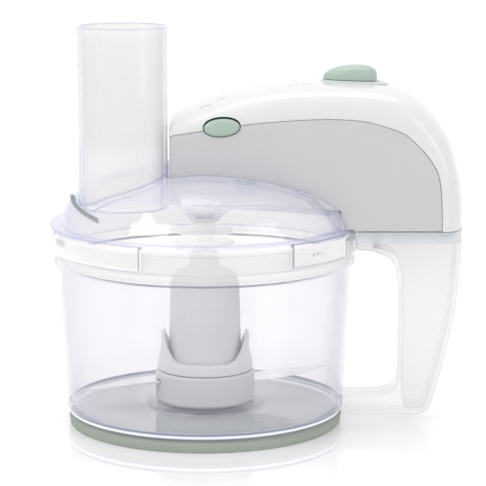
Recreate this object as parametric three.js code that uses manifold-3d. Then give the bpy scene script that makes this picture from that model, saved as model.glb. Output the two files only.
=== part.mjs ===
// Food processor with an overhead drive arm. Millimetres, +Z up.
// Origin: on the bowl axis at the underside of the mat. +X towards the handle, -Y is the front.
import * as THREE from 'three';
import { mergeVertices } from 'three/addons/utils/BufferGeometryUtils.js';
import Module from 'manifold-3d';

const wasm = await Module();
wasm.setup();

// ---- driving dimensions -------------------------------------------------------------------
const GAP = 0.3; // clearance between neighbouring pieces
const MAT_R = 85, MAT_H = 7.4;
const BOWL_FOOT_Z = 7.7, COLLAR_R = 94.5, COLLAR_Z = 102.4, BOWL_RIM_Z = 120.2;
const FLANGE_R = 95.6, FLANGE_Z = 122.3, LID_WALL = 2.4;
const CHANNEL_HALF_W = 40, CHANNEL_X = -22.5;
const TUBE = { x: -48.7, y: -27, a: 27.3, b: 24, top: 249, bottom: 139, wall: 2.4 };
const PUSHER_GAP = 0.7, PUSHER_WALL = 2;
const ARM_HALF_W = 38, COVER_WALL = 2.6, SQUARENESS = 3;
const MOTOR_Z = 125.3, MOTOR_CLEAR_R = 97, MOTOR_X = 123.5;
const HANDLE_HALF_W = 13, SADDLE_Z = [118.3, 124.7];
const SPINDLE_R = 4, BELT_Z = [170, 178], PULLEY_BIG_R = 15, PULLEY_SMALL_R = 6;
const PIN_X = 107;

// Corners that shape the arm's two guide lines, from its tip over the top and down the back: the
// seam between cover and side panels, and the cover's centre line. Each line touches the middle of
// every straight between two corners.
const SEAM = [[-20.3, 146], [-20.3, 180.2], [-20.3, 183.7], [-16.8, 184.3], [35.3, 192.4],
  [91.5, 194.8], [118.8, 186.3], [123.8, 182.9], [135.8, 171.2], [144.4, 155.9], [144.2, 125.4]];
const CROWN = [[-20.9, 146], [-20.9, 186], [-20.9, 190.6], [-16.6, 192.4], [32.5, 212.3],
  [102.4, 213.4], [126.5, 206.5], [142.3, 191.1], [151.5, 175.7], [159.2, 143], [157.9, 125.4]];
const underside = (x) => 145.2 - 0.0707 * (x + 18); // the arm's sloping underside

// ---- materials ----------------------------------------------------------------------------
const material = (colour, roughness, metalness = 0, opacity = 1) =>
  new THREE.MeshStandardMaterial({
    color: colour, roughness, metalness, opacity, transparent: opacity < 1,
  });
const WHITE = material(0xf3f3f1, 0.25);
const GREY = material(0xcdcfd2, 0.5);
const MINT = material(0xb4cdbb, 0.45);
const MAT = material(0xa0ac9e, 0.85);
const CLEAR = material(0xe8eaf4, 0.08, 0, 0.3);
const MILKY = material(0xf0f0f0, 0.4, 0, 0.6);
const STEEL = material(0xc4c7ca, 0.25, 1);
const BRASS = material(0xb8924a, 0.35, 1);
const RUBBER = material(0x2b2b2c, 0.8);
const DARK = material(0x3c3f40, 0.6);
const BOARD = material(0x2f6b45, 0.6);

// ---- solids -------------------------------------------------------------------------------
function solid(geometry) {
  const bare = geometry.clone();
  for (const name of ['normal', 'uv']) bare.deleteAttribute(name);
  const merged = mergeVertices(bare, 1e-4);
  const index = merged.index.array;
  const tris = [];
  for (let i = 0; i < index.length; i += 3) {
    const [a, b, c] = [index[i], index[i + 1], index[i + 2]];
    if (a !== b && b !== c && c !== a) tris.push(a, b, c);
  }
  return new wasm.Manifold(new wasm.Mesh({
    numProp: 3,
    vertProperties: new Float32Array(merged.attributes.position.array),
    triVerts: new Uint32Array(tris),
  }));
}

function geometryOf(body) {
  const mesh = body.getMesh();
  const points = new Float32Array(mesh.numVert * 3);
  for (let i = 0; i < mesh.numVert; i++)
    for (let k = 0; k < 3; k++) points[3 * i + k] = mesh.vertProperties[i * mesh.numProp + k];
  const geometry = new THREE.BufferGeometry();
  geometry.setAttribute('position', new THREE.BufferAttribute(points, 3));
  geometry.setIndex(new THREE.BufferAttribute(new Uint32Array(mesh.triVerts), 1));
  geometry.computeVertexNormals();
  return geometry;
}

/** Closed surface through rings of equal length; `around` joins the last ring to the first. */
function loft(rings, around = false) {
  const n = rings[0].length;
  const points = rings.flat(2);
  const tris = [];
  const spans = around ? rings.length : rings.length - 1;
  for (let i = 0; i < spans; i++) {
    const here = i * n;
    const next = ((i + 1) % rings.length) * n;
    for (let j = 0; j < n; j++) {
      const k = (j + 1) % n;
      tris.push(here + j, here + k, next + k, here + j, next + k, next + j);
    }
  }
  if (!around) {
    const end = (rings.length - 1) * n;
    for (let j = 1; j < n - 1; j++) tris.push(0, j + 1, j, end, end + j, end + j + 1);
  }
  const v = (i) => new THREE.Vector3().fromArray(points, 3 * i);
  let volume = 0;
  for (let i = 0; i < tris.length; i += 3)
    volume += v(tris[i]).dot(v(tris[i + 1]).cross(v(tris[i + 2])));
  if (volume < 0) tris.reverse();
  const geometry = new THREE.BufferGeometry();
  geometry.setAttribute('position', new THREE.Float32BufferAttribute(points, 3));
  geometry.setIndex(tris);
  return solid(geometry);
}

/** Solid of revolution about Z from [radius, z] points in either direction. */
function turned(profile, segments = 32) {
  let area = 0;
  profile.forEach(([r, z], i) => {
    const [r2, z2] = profile[(i + 1) % profile.length];
    area += r * z2 - r2 * z;
  });
  const path = area < 0 ? [...profile].reverse() : profile;
  const ends = path[0][0] === 0 && path.at(-1)[0] === 0;
  const points = (ends ? path : [...path, path[0]]).map(([r, z]) => new THREE.Vector2(r, z));
  return solid(new THREE.LatheGeometry(points, segments).rotateX(Math.PI / 2));
}

const rod = (r, low, high, segments = 20) =>
  turned([[0, low], [r, low], [r, high], [0, high]], segments);
const tube = (inner, outer, low, high, segments = 24) =>
  turned([[inner, low], [outer, low], [outer, high], [inner, high]], segments);
const box = (x, y, z) => solid(new THREE.BoxGeometry(x[1] - x[0], y[1] - y[0], z[1] - z[0])
  .translate((x[0] + x[1]) / 2, (y[0] + y[1]) / 2, (z[0] + z[1]) / 2));
const union = (...bodies) => bodies.reduce((a, b) => a.add(b));
const cut = (body, ...tools) => tools.reduce((a, b) => a.subtract(b), body);

/** Prism of an XZ outline between two y values. */
function sidePrism(outline, low, high, bevel = 0) {
  const shape = new THREE.Shape(outline.map(([x, z]) => new THREE.Vector2(x, -z)));
  const geometry = new THREE.ExtrudeGeometry(shape, {
    depth: high - low - 2 * bevel, curveSegments: 10, steps: 1, bevelEnabled: bevel > 0,
    bevelThickness: bevel, bevelSize: bevel, bevelOffset: -bevel, bevelSegments: 2,
  });
  return solid(geometry.rotateX(-Math.PI / 2).translate(0, low + bevel, 0));
}

/** Prism of an XY outline between two z values. */
function flatPrism(outline, low, high) {
  const shape = new THREE.Shape(outline.map(([x, y]) => new THREE.Vector2(x, y)));
  return solid(new THREE.ExtrudeGeometry(shape, {
    depth: high - low, steps: 1, bevelEnabled: false,
  }).translate(0, 0, low));
}

const oval = (x, y, a, b, steps = 32) => Array.from({ length: steps }, (_, i) => {
  const t = (2 * Math.PI * i) / steps;
  return [x + a * Math.cos(t), y + b * Math.sin(t)];
});

/** Part of a ring between two azimuths in degrees. */
function sector(inner, outer, low, high, from, to, steps = 12) {
  const rings = Array.from({ length: steps + 1 }, (_, i) => {
    const t = ((from + ((to - from) * i) / steps) * Math.PI) / 180;
    const [c, s] = [Math.cos(t), Math.sin(t)];
    return [[inner * c, inner * s, low], [outer * c, outer * s, low],
      [outer * c, outer * s, high], [inner * c, inner * s, high]];
  });
  return loft(rings);
}

/** Helical wire spring along Z. */
function coil(x, y, low, high, r, wire, turns) {
  const steps = turns * 9;
  const rings = [];
  for (let i = 0; i <= steps; i++) {
    const t = (2 * Math.PI * turns * i) / steps;
    const z = low + wire + ((high - low - 2 * wire) * i) / steps;
    rings.push(Array.from({ length: 5 }, (_, k) => {
      const u = (2 * Math.PI * k) / 5;
      const w = r + wire * Math.cos(u);
      return [x + w * Math.cos(t), y + w * Math.sin(t), z + wire * Math.sin(u)];
    }));
  }
  return loft(rings);
}

const group = new THREE.Group();
function add(name, body, look) {
  const mesh = new THREE.Mesh(geometryOf(body), look);
  mesh.name = name;
  group.add(mesh);
}

// ---- bowl, mat and handle -----------------------------------------------------------------
const wallOuter = [[82.5, BOWL_FOOT_Z], [84.8, 8.6], [85.6, 10.8], [88.6, 50], [91, 84],
  [91, COLLAR_Z - 1.2], [COLLAR_R, COLLAR_Z], [COLLAR_R, BOWL_RIM_Z]];
const wallInner = [[92, BOWL_RIM_Z], [92, 105], [88.6, 101.5], [88.5, 84], [86, 50], [83.3, 13],
  [80, 10.2]];
add('mat', turned([[0, 0], [84, 0], [MAT_R, 1], [MAT_R, MAT_H - 1], [84, MAT_H], [0, MAT_H]], 40), MAT);
add('bowl', cut(turned([[0, BOWL_FOOT_Z], ...wallOuter, ...wallInner, [37, 10.2], [36, 12.4],
  [8, 12.4], [7, 20], [0, 20]], 40), rod(3.3, 11, 30)), CLEAR);
add('bowl_spindle', turned([[0, 11.3], [3, 11.3], [3, 58], [2, 60], [0, 60]], 20), STEEL);

const handleOutline = [[88, 118.3], [158.6, 118.3], [158.4, 106], [157.4, 92], [155.8, 76.6],
  [152.5, 57], [148.4, 38.9], [144.3, 23.6], [141.2, 12.6], [138.4, 7.6], [133, 5], [120, 5.2],
  [84, 5.8], [84, 17.1], [100, 17.5], [108, 17.9], [112.2, 18.9], [116, 20.9], [118.8, 23.8],
  [120, 27.7], [120, 88], [119.2, 93], [117.6, 97.8], [115, 101.7], [111.4, 104.7], [107, 106.9],
  [100, 108.6], [92.5, 109.5], [88, 109.8]];
const saddlePlan = [[92, -36], [146, -36], [151.5, -34], [155, -30.5], [157.2, -25], [158.6, -12],
  [158.6, 12], [157.2, 25], [155, 30.5], [151.5, 34], [146, 36], [92, 36]];
const inset = (plan, d) => plan.map(([x, y]) => [x - Math.sign(x - 120) * d, y - Math.sign(y) * d]);
const handleBody = union(
  sidePrism(handleOutline, -HANDLE_HALF_W, HANDLE_HALF_W, 2),
  flatPrism(saddlePlan, SADDLE_Z[0] - 0.6, SADDLE_Z[1]),
);
const bowlClear = turned([[0, 0], [82.8, 0], [85.3, 8.3], [85.9, 10.8], [87.3, 28], [88.9, 50],
  [91.3, 84], [91.3, 100.9], [COLLAR_R + GAP, 102], [COLLAR_R + GAP, 119], [MOTOR_CLEAR_R, 119.4],
  [MOTOR_CLEAR_R, 130], [0, 130]], 40);
const matClear = rod(MAT_R + 0.5, -5, MAT_H + 0.3, 40);
add('handle', cut(handleBody, bowlClear, matClear,
  flatPrism(inset(saddlePlan, 2.4), 121.2, 130),
  rod(2.7, 108.6, 130).translate([PIN_X, 0, 0])), CLEAR);
add('interlock_pin', turned([[0, 112.4], [2.3, 112.4], [2.3, 124], [1.7, 124.8], [0, 124.8]], 20)
  .translate([PIN_X, 0, 0]), DARK);
add('interlock_spring', coil(PIN_X, 0, 108.8, 112.2, 1.9, 0.25, 3), STEEL);

// ---- tool: holder, hub, blades ------------------------------------------------------------
const hexagon = (r) => oval(0, 0, r, r, 6);
add('tool_holder', cut(turned([[0, 13], [21.9, 13], [22.4, 34], [22.4, 55], [21.5, 84], [20.3, 90],
  [17.5, 94], [13, 96], [9.4, 96.6], [9, 98], [9, 106], [0, 106]], 28),
turned([[0, 5], [19.8, 5], [19.8, 60], [19, 84], [12, 91], [0, 91]], 24),
flatPrism(hexagon(5.2), 88, 120)), GREY);
add('bearing_sleeve', union(tube(3.3, 6, 21, 62, 24), tube(5.8, 19.5, 57.5, 60, 32)), WHITE);

const BLADE_THICK = 1.5, BLADE_ROOT = 23.5, GROUND = 3.2, EDGE_THICK = 0.24;

/** Swept blade: broad at the drum, ground sharp in front, pointed at `reach`. */
function blade(reach, [rootZ, tipZ], turn, steps = 9) {
  const rings = Array.from({ length: steps + 1 }, (_, i) => {
    const t = i / steps;
    const u = BLADE_ROOT + (reach - BLADE_ROOT) * t;
    const front = -9.3 + 17 * t ** 3.2;
    const back = Math.max(9.2 + 1.2 * Math.sin(Math.PI * t), front + GROUND + 0.4);
    const z = rootZ + (tipZ - rootZ) * (3 * t * t - 2 * t ** 3);
    return [
      [u, front, z - EDGE_THICK / 2], [u, front + GROUND, z - BLADE_THICK / 2],
      [u, back, z - BLADE_THICK / 2], [u, back, z + BLADE_THICK / 2],
      [u, front + GROUND, z + BLADE_THICK / 2], [u, front, z + EDGE_THICK / 2],
    ];
  });
  return loft(rings).rotate([0, 0, turn]);
}
const turnUp = 14, turnLow = 188; // degrees round the drum
const rootUp = 24.6, rootLow = 26.6;
const upper = blade(79.5, [rootUp, 27], turnUp);
const lower = blade(77.5, [rootLow, 22.4], turnLow);
const slot = (z, turn) => box([22, 33], [-10.6, 10.6], [z - 1.6, z + 1.6]).rotate([0, 0, turn]);
add('blade_hub', cut(turned([[22.8, 13.2], [30, 13.2], [31, 14.2], [31, 31], [30, 32.6],
  [22.8, 32.6]], 28), slot(rootUp, turnUp), slot(rootLow, turnLow)), WHITE);
add('blade_upper', upper, STEEL);
add('blade_lower', lower, STEEL);
const scoop = sidePrism([[-26, 60], [-25, 54], [-22.5, 47], [-19.5, 41.8], [-16, 39.6], [16, 39.6],
  [19.5, 41.8], [22.5, 47], [25, 54], [26, 60]], -50, 50);
add('finger_collar', cut(turned([[22.9, 33], [30, 33], [29.4, 38], [27.4, 46], [27.6, 55.4],
  [26.4, 56], [24.6, 55.4], [24.4, 46], [22.9, 40]], 28), scoop), WHITE);

// ---- lid ----------------------------------------------------------------------------------
const lidFloor = (x) => underside(x) - 1.2;
const channel = (grow) => {
  const x = [CHANNEL_X - grow, 130], top = 260;
  return sidePrism([[x[0], top], [x[0], lidFloor(x[0]) - grow], [x[1], lidFloor(x[1]) - grow],
    [x[1], top]], -CHANNEL_HALF_W - grow, CHANNEL_HALF_W + grow);
};
const domeOuter = turned([[0, 108], [91.4, 108], [91.4, FLANGE_Z], [95, FLANGE_Z],
  [FLANGE_R, 122.9], [FLANGE_R, 125.4], [95, 126], [88.9, 126.2], [88.2, 130.7], [85.2, 136],
  [83, 141], [80, 143.3], [77, 147.5], [65, 153], [53, 157], [40, 160.5], [20, 163.4],
  [0, 164]], 40);
const domeInner = turned([[0, 100], [89.2, 100], [89.2, 121.5], [86.2, 124.5], [85.5, 130],
  [80.8, 139], [75.2, 145.4], [64, 150.4], [40, 157.8], [20, 160.9], [0, 161.5]], 40);
const feed = (grow, low, high) => {
  const ring = (z) => oval(TUBE.x, TUBE.y, TUBE.a + grow, TUBE.b + grow).map(([x, y]) => [x, y, z]);
  return loft([ring(low), ring(high)]);
};
const cupOuter = turned([[0, 128.6], [11.5, 128.6], [20.2, 137], [20.2, 141.4], [0, 141.4]], 28);
const cupInner = turned([[0, 130.8], [9.8, 130.8], [17.9, 138.4], [17.9, 165], [0, 165]], 28);
const latchSlot = (side) => rod(6.5, -1.4, 1.4, 24).rotate([90, 0, 0]).translate([25.5, side * 41, 156.2])
  .subtract(box([15, 36], [-60, 60], [155, 170]));
// Two cheeks carry the channel's side walls out past the dome, to guide the arm down.
const cheekOutline = [[56, 125], [56, 151.8], [60, 151], [65, 148.9], [70, 146.4], [76, 143],
  [80, 140], [83, 135.5], [84.9, 130.5], [85.4, 125]];
const cheek = (low, high) => sidePrism(cheekOutline, low, high);
const cheekHalfW = CHANNEL_HALF_W + LID_WALL;
const shell = cut(
  union(domeOuter, cheek(-cheekHalfW, -CHANNEL_HALF_W + 1), cheek(CHANNEL_HALF_W - 1, cheekHalfW)),
  channel(0), domeInner.subtract(channel(LID_WALL)));
let lid = union(shell, feed(0, TUBE.bottom, TUBE.top), cupOuter,
  sector(94.9, 96.5, 111, 125.6, -57, -28), sector(94.9, 96.5, 111, 125.6, -160, -112, 18));
lid = cut(lid, feed(-TUBE.wall, 120, 260), cupInner, rod(6.2, 110, 140), latchSlot(-1), latchSlot(1));
add('lid', lid, CLEAR);
add('lid_seal', tube(92.2, 94.2, 120.5, 122, 40), MILKY);
add('lid_bush', turned([[5.8, 127], [10, 127], [10, 128.3], [6, 128.3], [6, 131.1], [9, 131.1],
  [9, 132.2], [5.8, 132.2]], 20), WHITE);
add('lid_coupler', union(
  cut(turned([[0, 106.6], [5.5, 106.6], [5.5, 132.6], [10, 132.6], [10.6, 134], [10.6, 141.6],
    [0, 141.6]], 20), flatPrism(hexagon(7.4), 134.6, 150)),
  flatPrism(hexagon(4.9), 99, 107),
  turned([[0, 118.9], [18, 118.9], [18.5, 119.7], [18, 120.5], [0, 120.5]], 24),
  turned([[0, 111.7], [18, 111.7], [18.5, 112.5], [18, 113.3], [0, 113.3]], 24)), WHITE);
add('coupler_clip', cut(tube(5.7, 8, 125.6, 126.5, 24), box([0, 12], [-2, 2], [120, 130])), STEEL);
add('pusher', cut(feed(-TUBE.wall - PUSHER_GAP, 141, TUBE.top - 1),
  feed(-TUBE.wall - PUSHER_GAP - PUSHER_WALL, 143.4, 260)), MILKY);

// ---- motor unit: cover, panels, underside -------------------------------------------------
/** Smooth line through the middles of the straights between corners. */
function arch(corners, steps = 3) {
  const at = ([x, z]) => new THREE.Vector2(x, z);
  const middle = (a, b) => at(a).add(at(b)).multiplyScalar(0.5);
  const last = corners.length - 1;
  const bends = corners.slice(1, last).map((corner, i) => new THREE.QuadraticBezierCurve(
    i === 0 ? at(corners[0]) : middle(corners[i], corner), at(corner),
    i === last - 2 ? at(corners[last]) : middle(corner, corners[i + 2])));
  return [...bends.flatMap((bend) => bend.getPoints(steps).slice(0, -1)), at(corners[last])];
}
const seam = arch(SEAM);
const crown = arch(CROWN);

/** Line across the cover at station i: from one seam over the crown to the other. */
function rib(i, halfWidth, drop, across = 14) {
  const p = seam[i];
  const s = crown[i];
  const reach = p.distanceTo(s);
  const k = Math.max(0.04, (reach - drop) / reach);
  return Array.from({ length: across + 1 }, (_, j) => {
    const t = -Math.PI / 2 + (Math.PI * j) / across;
    const y = halfWidth * Math.sign(Math.sin(t)) * Math.abs(Math.sin(t)) ** (2 / SQUARENESS);
    const lift = k * Math.max(0, Math.cos(t)) ** (2 / SQUARENESS);
    return [p.x + (s.x - p.x) * lift, y, p.y + (s.y - p.y) * lift];
  });
}
const ribs = (make) => seam.map((_, i) => make(i));
const filled = (drop, halfWidth = ARM_HALF_W) => loft(ribs((i) => rib(i, halfWidth, drop)));
const coverSkin = loft(ribs((i) => [...rib(i, ARM_HALF_W, 0),
  ...rib(i, ARM_HALF_W - COVER_WALL, COVER_WALL).reverse()]));

const sideOutline = [...seam.map((p) => [p.x, p.y]), [90.7, MOTOR_Z], [90.7, underside(90.7)]];
const shrink = (outline, d) => outline.map(([x, z], i) => {
  const [ax, az] = outline[(i + outline.length - 1) % outline.length];
  const [bx, bz] = outline[(i + 1) % outline.length];
  const n = new THREE.Vector2(bz - az, -(bx - ax)).normalize();
  return [x + n.x * d, z + n.y * d];
});
// Outside the dome the panels reach down to just above the lid's flange.
const PANEL_FRONT_X = 82.9, PANEL_FOOT_Z = 126.5;
const panelOutline = shrink([...seam.map((p) => [p.x, p.y]), [90.7, MOTOR_Z], [90.7, PANEL_FOOT_Z],
  [PANEL_FRONT_X, PANEL_FOOT_Z], [PANEL_FRONT_X, underside(PANEL_FRONT_X)]], GAP);
const BUTTON = { x: 11, z: 188.7, a: 11, b: 5.4, lean: 0.07 };
const buttonAt = (grow, low, high) => sidePrism(
  oval(0, 0, BUTTON.a + grow, BUTTON.b + grow).map(([x, z]) => [
    BUTTON.x + x * Math.cos(BUTTON.lean) - z * Math.sin(BUTTON.lean),
    BUTTON.z + x * Math.sin(BUTTON.lean) + z * Math.cos(BUTTON.lean),
  ]), low, high);
const buttonHoles = union(buttonAt(0.4, -60, -25), buttonAt(0.4, 25, 60));
const lugHole = (side, grow) => rod(6 + grow, -3, 3, 24).rotate([90, 0, 0])
  .translate([25.5, side * 36.7, 156.6]).subtract(box([10, 40], [-60, 60], [156.6 + grow, 175]));

const posts = [[110, -28], [110, 28], [138, -28], [138, 28]];
const postBodies = posts.map(([x, y]) => rod(4, 128.2, 215, 16).translate([x, y, 0]));
const within = union(filled(0.5), sidePrism(shrink(sideOutline, -0.2), -34.5, 34.5));
const topSlot = flatPrism([[83, -3.6], [99, -3.6], [99, 3.6], [83, 3.6]], 200, 230);
const frontWall = box([-20.6, -18.2], [-34.8, 34.8], [148.2, 183]);
let cover = union(coverSkin, frontWall, ...postBodies.map((p) => p.intersect(within)));
cover = cut(cover, topSlot, buttonHoles, ...posts.map(([x, y]) =>
  rod(1.7, 120, 146, 12).translate([x, y, 0])));
add('motor_cover', cover, WHITE);
for (const [name, side] of [['front', -1], ['rear', 1]]) {
  const y = side < 0 ? [-ARM_HALF_W, -35.4] : [35.4, ARM_HALF_W];
  let panel = cut(sidePrism(panelOutline, y[0], y[1]), buttonHoles, lugHole(side, 0.4));
  if (side > 0) panel = cut(panel, rod(5.8, -10, 10, 24).rotate([90, 0, 0]).translate([128, 38, 142]));
  add(`side_panel_${name}`, panel, GREY);
}

const below = (radius, lift) => rod(radius, 100, 160, 40).intersect(
  sidePrism([[-110, 90], [110, 90], [110, underside(110) + lift], [-110, underside(-110) + lift]],
    -110, 110));
const core = sidePrism(shrink(sideOutline, GAP + 0.1), -35.1, 35.1);
const vents = [44, 52, 60, 68, 76].map((x) => box([x, x + 3], [-14, 14], [130, 150]));
add('underside_plate', cut(
  core.intersect(union(box([60, 200], [-60, 60], [100, MOTOR_Z + 2.3]), below(99.5, 2.4))),
  below(MOTOR_CLEAR_R, 0), rod(9.2, 120, 160), ...vents,
  ...posts.flatMap(([x, y]) => [rod(1.9, 110, 140, 12).translate([x, y, 0]),
    rod(3.5, 110, 126.6, 20).translate([x, y, 0])])), GREY);
posts.forEach(([x, y], i) => add(`case_screw_${i + 1}`, cut(
  union(rod(3, 125.5, 126.3, 16), rod(1.4, 126, 142, 12)),
  box([-0.5, 0.5], [-2, 2], [120, 125.9])).translate([x, y, 0]), STEEL));

// ---- motor unit: drive train --------------------------------------------------------------
const atMotor = (body) => body.translate([MOTOR_X, 0, 0]);
add('motor_mount', atMotor(turned([[8, 128], [22.5, 128], [22.5, 138], [20.3, 138], [20.3, 129.6],
  [8, 129.6]], 32)), RUBBER);
add('stator_can', atMotor(turned([[3.4, 130], [20, 130], [20, 162], [3.4, 162], [3.4, 160],
  [11.4, 160], [11.4, 132.5], [3.4, 132.5]], 32)), STEEL);
add('rotor_shaft', atMotor(rod(3, 130.6, 180, 20)), STEEL);
add('rotor_core', atMotor(tube(3.1, 10.6, 134, 158, 28)), DARK);
add('fan', atMotor(union(tube(3.1, 6, 163, 168, 24), tube(5.8, 17, 163, 164, 28),
  ...Array.from({ length: 8 }, (_, i) => box([5.5, 16.6], [-0.6, 0.6], [163.5, 167.4])
    .rotate([0, 0, 45 * i])))), WHITE);
const pulley = (bore, r) => turned([[bore, 168.4], [r + 1.8, 168.4], [r + 1.8, 169.6], [r, 169.6],
  [r, 178.4], [r + 1.8, 178.4], [r + 1.8, 179.6], [bore, 179.6]], 24);
add('motor_pulley', atMotor(pulley(3.1, PULLEY_SMALL_R)), BRASS);
add('driven_pulley', pulley(SPINDLE_R + 0.1, PULLEY_BIG_R), WHITE);

/** Open belt around the two pulleys, `out` beyond their faces. */
function beltLine(out) {
  const R = PULLEY_BIG_R + out;
  const r = PULLEY_SMALL_R + out;
  const lean = Math.acos((R - r) / MOTOR_X);
  const line = [];
  for (let i = 0; i <= 16; i++) {
    const t = -lean + (2 * lean * i) / 16;
    line.push([MOTOR_X + r * Math.cos(t), r * Math.sin(t)]);
  }
  for (let i = 0; i <= 20; i++) {
    const t = lean + (2 * (Math.PI - lean) * i) / 20;
    line.push([R * Math.cos(t), R * Math.sin(t)]);
  }
  return line;
}
const [beltIn, beltOut] = [beltLine(0.35), beltLine(1.8)];
add('drive_belt', loft(beltIn.map(([x, y], i) => [[x, y, BELT_Z[0]], [...beltOut[i], BELT_Z[0]],
  [...beltOut[i], BELT_Z[1]], [x, y, BELT_Z[1]]]), true), RUBBER);
add('drive_spindle', rod(SPINDLE_R, 144, 186, 24), STEEL);
add('spindle_bush_lower', turned([[4.25, 144.6], [8.8, 144.6], [8.8, 147.6], [11, 147.6], [11, 149.6],
  [8, 149.6], [8, 156], [4.25, 156]], 20), BRASS);
add('spindle_bush_upper', tube(4.25, 8, 180.6, 186, 20), BRASS);
add('bearing_bridge', cut(union(box([-13, 30], [-27, 27], [186.4, 188.6]), tube(8.3, 11, 180.6, 187, 28),
  ...[-24, 24].map((y) => rod(3.4, 147.5, 187, 16).translate([24, y, 0]))),
rod(4.6, 170, 200)), GREY);
add('drive_dog', union(rod(7.6, 141.9, 143, 28),
  flatPrism(hexagon(6.9), 135.6, 142), rod(3.2, 142, 143.7)), DARK);

// ---- motor unit: controls -----------------------------------------------------------------
add('control_board', box([60, 100], [-18, 18], [184.4, 186]), BOARD);
add('switch_block', box([78, 104], [-7, 7], [186.4, 197]), DARK);
const bezelPlan = oval(92.2, 0, 20.7, 13);
add('switch_bezel', cut(flatPrism(bezelPlan, 200, 225).intersect(filled(-1.3)),
  filled(-0.15), topSlot), MINT);
// Thumb lobe: each level is [left end, right end, half width, height above the lobe's foot].
const LOBE_FOOT_Z = 205, LOBE_LEVELS = [[72.4, 106, 10.6, 0], [72.8, 106, 10.6, 9.6],
  [74, 105.7, 10.2, 13], [78, 104.6, 9.2, 15.4], [83.6, 101.4, 7, 17.1], [89, 97, 3.4, 17.8]];
const lobe = loft(LOBE_LEVELS.map(([left, right, half, up]) =>
  oval((left + right) / 2, 0, (right - left) / 2, half).map(([x, y]) => [x, y, LOBE_FOOT_Z + up])));
add('speed_slider', union(lobe.subtract(filled(-1.6)), box([84, 92], [-2.9, 2.9], [198, 217])), MINT);
for (const [name, side] of [['front', -1], ['rear', 1]]) {
  const span = (near, far) => [side * near, side * far].sort((a, b) => a - b);
  add(`release_button_${name}`, buttonAt(0, ...span(33, 40.4)), MINT);
  add(`latch_lug_${name}`, union(lugHole(side, 0),
    box([18, 22], span(31, 34.6), [150.2, 184]),
    box([18, 31], span(33, 34.9), [151.6, 156])), MINT);
}
add('cord_gland', turned([[0, -6], [5.4, -6], [5.4, 0.3], [7, 0.3], [7, 2], [5.6, 5], [3.2, 5], [3.2, 2],
  [0, 2]], 24)
  .rotate([-90, 0, 0]).translate([128, ARM_HALF_W, 142]), RUBBER);

export default group;
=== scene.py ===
# %% [markdown]
# # A food processor with an overhead drive arm
# The frame already holds every working part at its true size. This lesson puts fine surfaces and
# finishes on it: clear mouldings, a white cover, grey side panels, mint controls, steel blades.
# All sizes below are in millimetres, because that is how a moulder's drawing gives them; one
# constant turns them into metres when a mesh is made.

import math

import bmesh
import bpy
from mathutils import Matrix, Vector


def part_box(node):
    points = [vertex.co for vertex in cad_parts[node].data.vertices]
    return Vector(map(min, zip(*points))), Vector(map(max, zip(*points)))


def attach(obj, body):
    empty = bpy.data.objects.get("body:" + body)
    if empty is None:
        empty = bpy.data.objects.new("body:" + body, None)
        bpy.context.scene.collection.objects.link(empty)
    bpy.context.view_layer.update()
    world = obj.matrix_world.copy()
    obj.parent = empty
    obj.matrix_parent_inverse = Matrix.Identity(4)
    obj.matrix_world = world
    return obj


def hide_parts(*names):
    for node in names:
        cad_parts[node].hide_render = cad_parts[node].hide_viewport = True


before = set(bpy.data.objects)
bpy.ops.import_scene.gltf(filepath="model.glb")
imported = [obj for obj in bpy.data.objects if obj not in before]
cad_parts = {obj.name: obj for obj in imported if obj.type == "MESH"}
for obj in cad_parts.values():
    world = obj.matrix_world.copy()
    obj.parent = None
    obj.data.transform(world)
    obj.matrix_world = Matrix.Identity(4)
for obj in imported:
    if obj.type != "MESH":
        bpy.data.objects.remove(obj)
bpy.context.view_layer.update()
MM = 0.001
DEG = math.pi / 180

# %% [markdown]
# ## Shader maths
# A finish is a small network of nodes. Writing it as arithmetic keeps it readable: `Field` wraps
# one number that changes over a surface, and each operator adds one Math node. `Finish` owns the
# material and has a single method that makes any other node.

# %% The field and finish classes
class Field:
    """One number that varies over a surface."""

    def __init__(self, finish, socket):
        self.finish, self.socket = finish, socket

    def math(self, operation, *others, clamp=False):
        settings = {"operation": operation, "use_clamp": clamp}
        sockets = dict(enumerate([self, *others]))
        return self.finish.node("ShaderNodeMath", settings, sockets).out("Value")

    def __add__(self, other):
        return self.math("ADD", other)

    def __mul__(self, other):
        return self.math("MULTIPLY", other)

    def __rsub__(self, other):
        return (self * -1).math("ADD", other)

    def __pow__(self, other):
        return self.math("POWER", other)

    __radd__, __rmul__ = __add__, __mul__


class Node:
    """One node of a finish, whose outputs are read by name."""

    def __init__(self, finish, node):
        self.finish, self.node = finish, node

    def out(self, name):
        return Field(self.finish, self.node.outputs[name])


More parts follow.
